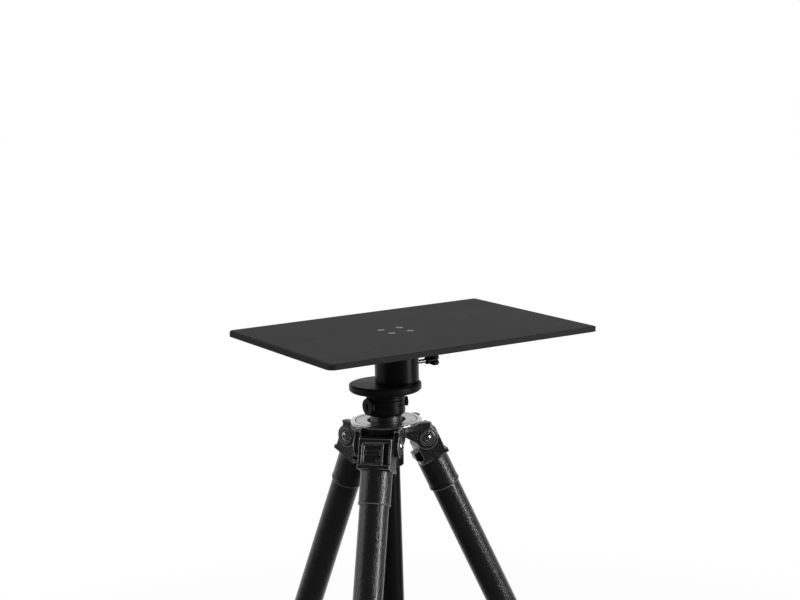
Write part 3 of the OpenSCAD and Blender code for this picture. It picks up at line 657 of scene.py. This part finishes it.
# the rubber feet, each a ball under a ringed neck, with a seat for the tube
foot = {
    "top": 955, "ballAt": 1000, "ball": 16, "ballSteps": 12, "ballStep": 9.2,
    "ring": 15.2, "neck": 14.3, "seat": 12.0, "edge": 0.3 * mm,
}
outline = [(0, -foot["ballAt"] - foot["ball"])]
for step in range(foot["ballSteps"]):
    turn = math.radians((step + 1) * foot["ballStep"])
    outline.append((foot["ball"] * math.sin(turn), -foot["ballAt"] - foot["ball"] * math.cos(turn)))
neckProfile = [  # heights from the foot's top
    (13.4, -24), (14.2, -22.6), (foot["ring"], -21.4), (foot["ring"], -20), (foot["neck"], -19.2),
    (foot["neck"], -17.2), (foot["ring"], -16.4), (foot["ring"], -14.6), (foot["neck"], -13.8),
    (foot["neck"], -12), (foot["ring"], -11.2), (foot["ring"], -9.2), (14.4, -8.4), (14.4, -1),
    (13.4, 0), (foot["seat"], 0), (foot["seat"], -20), (0, -20),
]
outline += [(r, z - foot["top"]) for r, z in neckProfile]
rubberFoot = turned("rubberFoot", [(r * mm, z * mm) for r, z in outline], 72, Matrix.Identity(4))
softened(rubberFoot, foot["edge"], 2, 34)
smoothed(rubberFoot, 50)
onEachLeg(rubberFoot, "lower_section", "grip_rubber", "foot", "rubberFoot")
print("legs made")

# finishes of the CAD nodes that stay

collets = [part + "_collet_" + leg for part in ("upper", "lower") for leg in legNames]
nodeFinishes = {
    "steel": ["column_lock_screw"],
    "black_steel": ["head_bolt", "boss_screws", "anti_twist_screws"],
    "brass": ["thread_insert", "clamp_shoe"],
    "dark_chrome": ["thumbscrew_rod"],
    "satin_black": ["column_tube"],
    "nylon": ["clamp_sleeve", "sleeve_bush"] + collets,
    "hammered_tube": ["upper_tube_" + leg for leg in legNames],
    "drawn_black": [part + "_tube_" + leg for part in ("middle", "lower") for leg in legNames],
}
for finish, names in nodeFinishes.items():
    for name in names:
        for slot in nodes[name].material_slots:
            slot.material = finishes[finish]
print("nodes painted")

# floor, light and camera

studio = {
    "nearGlow": 0.36, "farGlow": 0.6, "glowReach": (0.5, 3.5), "fill": 0.5,
    "backdropSide": (0.51, 0.86, 0.0), "backdropEdge": (0.15, 0.95), "roomDark": 0.07,
}
clearSelection()
bpy.ops.mesh.primitive_plane_add(size=40, location=(0, 0, 0))
floor = bpy.context.active_object
floor.name = "floor"
floor.visible_glossy = False
ground = Finish("floor_white", Roughness=0.9, Specular_IOR_Level=0.1)
ground.set("Base Color", grey(0.8))
seen = ground.node("ShaderNodeLightPath", output="Is Camera Ray")
# the floor's glow makes up for the lamps' light, which is stronger near the object
reach, height = ground.radius(ground.place)
glow = reach.above(*studio["glowReach"]) * (studio["farGlow"] - studio["nearGlow"]) + studio["nearGlow"]
ground.set("Emission Color", grey(1.0))
ground.set("Emission Strength", seen * glow)
floor.data.materials.append(ground.material)

world = bpy.data.worlds.new("studio")
bpy.context.scene.world = world
world.use_nodes = True
air = Nodes(world.node_tree)
air.tree.nodes.clear()
direct, mirrored, through = (
    air.node("ShaderNodeLightPath", output="Is " + ray + " Ray") for ray in ("Camera", "Glossy", "Transmission")
)
# the white backdrop stands behind the object, and the room before it is darker
behind = air.node(
    "ShaderNodeVectorMath", {"operation": "DOT_PRODUCT"},
    {0: air.node("ShaderNodeTexCoord", output="Generated"), 1: studio["backdropSide"]}, output="Value",
).above(*studio["backdropEdge"])
reflected = behind * (1 - studio["roomDark"]) + studio["roomDark"]
light = direct + (through + mirrored * reflected) + (1 - (direct + mirrored + through)) * studio["fill"]
sky = air.node("ShaderNodeBackground", None, {"Color": grey(1.0), "Strength": light})
worldOut = air.tree.nodes.new("ShaderNodeOutputWorld")
air.tree.links.new(sky.socket, worldOut.inputs[0])

focus = Vector((axisX, axisY, crownTop))
lamps = {
    "keyStrip": {"turn": 308, "distance": 1.9, "height": 0.5, "width": 0.3, "tall": 1.6, "watts": 34},
    "wideFill": {"turn": 150, "distance": 2.4, "height": 0.5, "width": 1.8, "tall": 1.8, "watts": 14},
}


def softbox(name, turn, distance, height, width, tall, watts):
    lamp = bpy.data.lights.new(name, "AREA")
    lamp.shape = "RECTANGLE"
    lamp.size = width
    lamp.size_y = tall
    lamp.energy = watts
    holder = bpy.data.objects.new(name, lamp)
    bpy.context.scene.collection.objects.link(holder)
    angle = math.radians(turn)
    holder.location = focus + Vector((math.cos(angle) * distance, math.sin(angle) * distance, height))
    holder.rotation_euler = (focus - holder.location).to_track_quat("-Z", "Y").to_euler()


for name, lamp in lamps.items():
    softbox(name, **lamp)

# the photograph's view, with the camera's place measured from the middle of the table's top
view = {"fromTable": (-0.946, -1.577, 0.342), "yaw": 30.6, "pitch": 9.55, "roll": 1.7, "lens": 74.34}
tableLow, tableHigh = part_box("tabletop")
tableTopMiddle = Vector(((tableLow.x + tableHigh.x) / 2, (tableLow.y + tableHigh.y) / 2, tableHigh.z))
yaw, pitch, roll = (math.radians(view[k]) for k in ("yaw", "pitch", "roll"))
forward = Vector((math.sin(yaw) * math.cos(pitch), math.cos(yaw) * math.cos(pitch), -math.sin(pitch)))
right = Vector((math.cos(yaw), -math.sin(yaw), 0))
up = right.cross(forward)
rolledRight = right * math.cos(roll) - up * math.sin(roll)
rolledUp = up * math.cos(roll) + right * math.sin(roll)
lens = bpy.data.cameras.new("camera")
lens.lens = view["lens"]
lens.sensor_width = 36
lens.clip_start = 0.05
camera = bpy.data.objects.new("camera", lens)
bpy.context.scene.collection.objects.link(camera)
camera.matrix_world = Matrix((
    (rolledRight.x, rolledUp.x, -forward.x, tableTopMiddle.x + view["fromTable"][0]),
    (rolledRight.y, rolledUp.y, -forward.y, tableTopMiddle.y + view["fromTable"][1]),
    (rolledRight.z, rolledUp.z, -forward.z, tableTopMiddle.z + view["fromTable"][2]),
    (0, 0, 0, 1),
))
bpy.context.scene.camera = camera
bpy.context.scene.view_settings.view_transform = "Standard"
print("camera and light set")
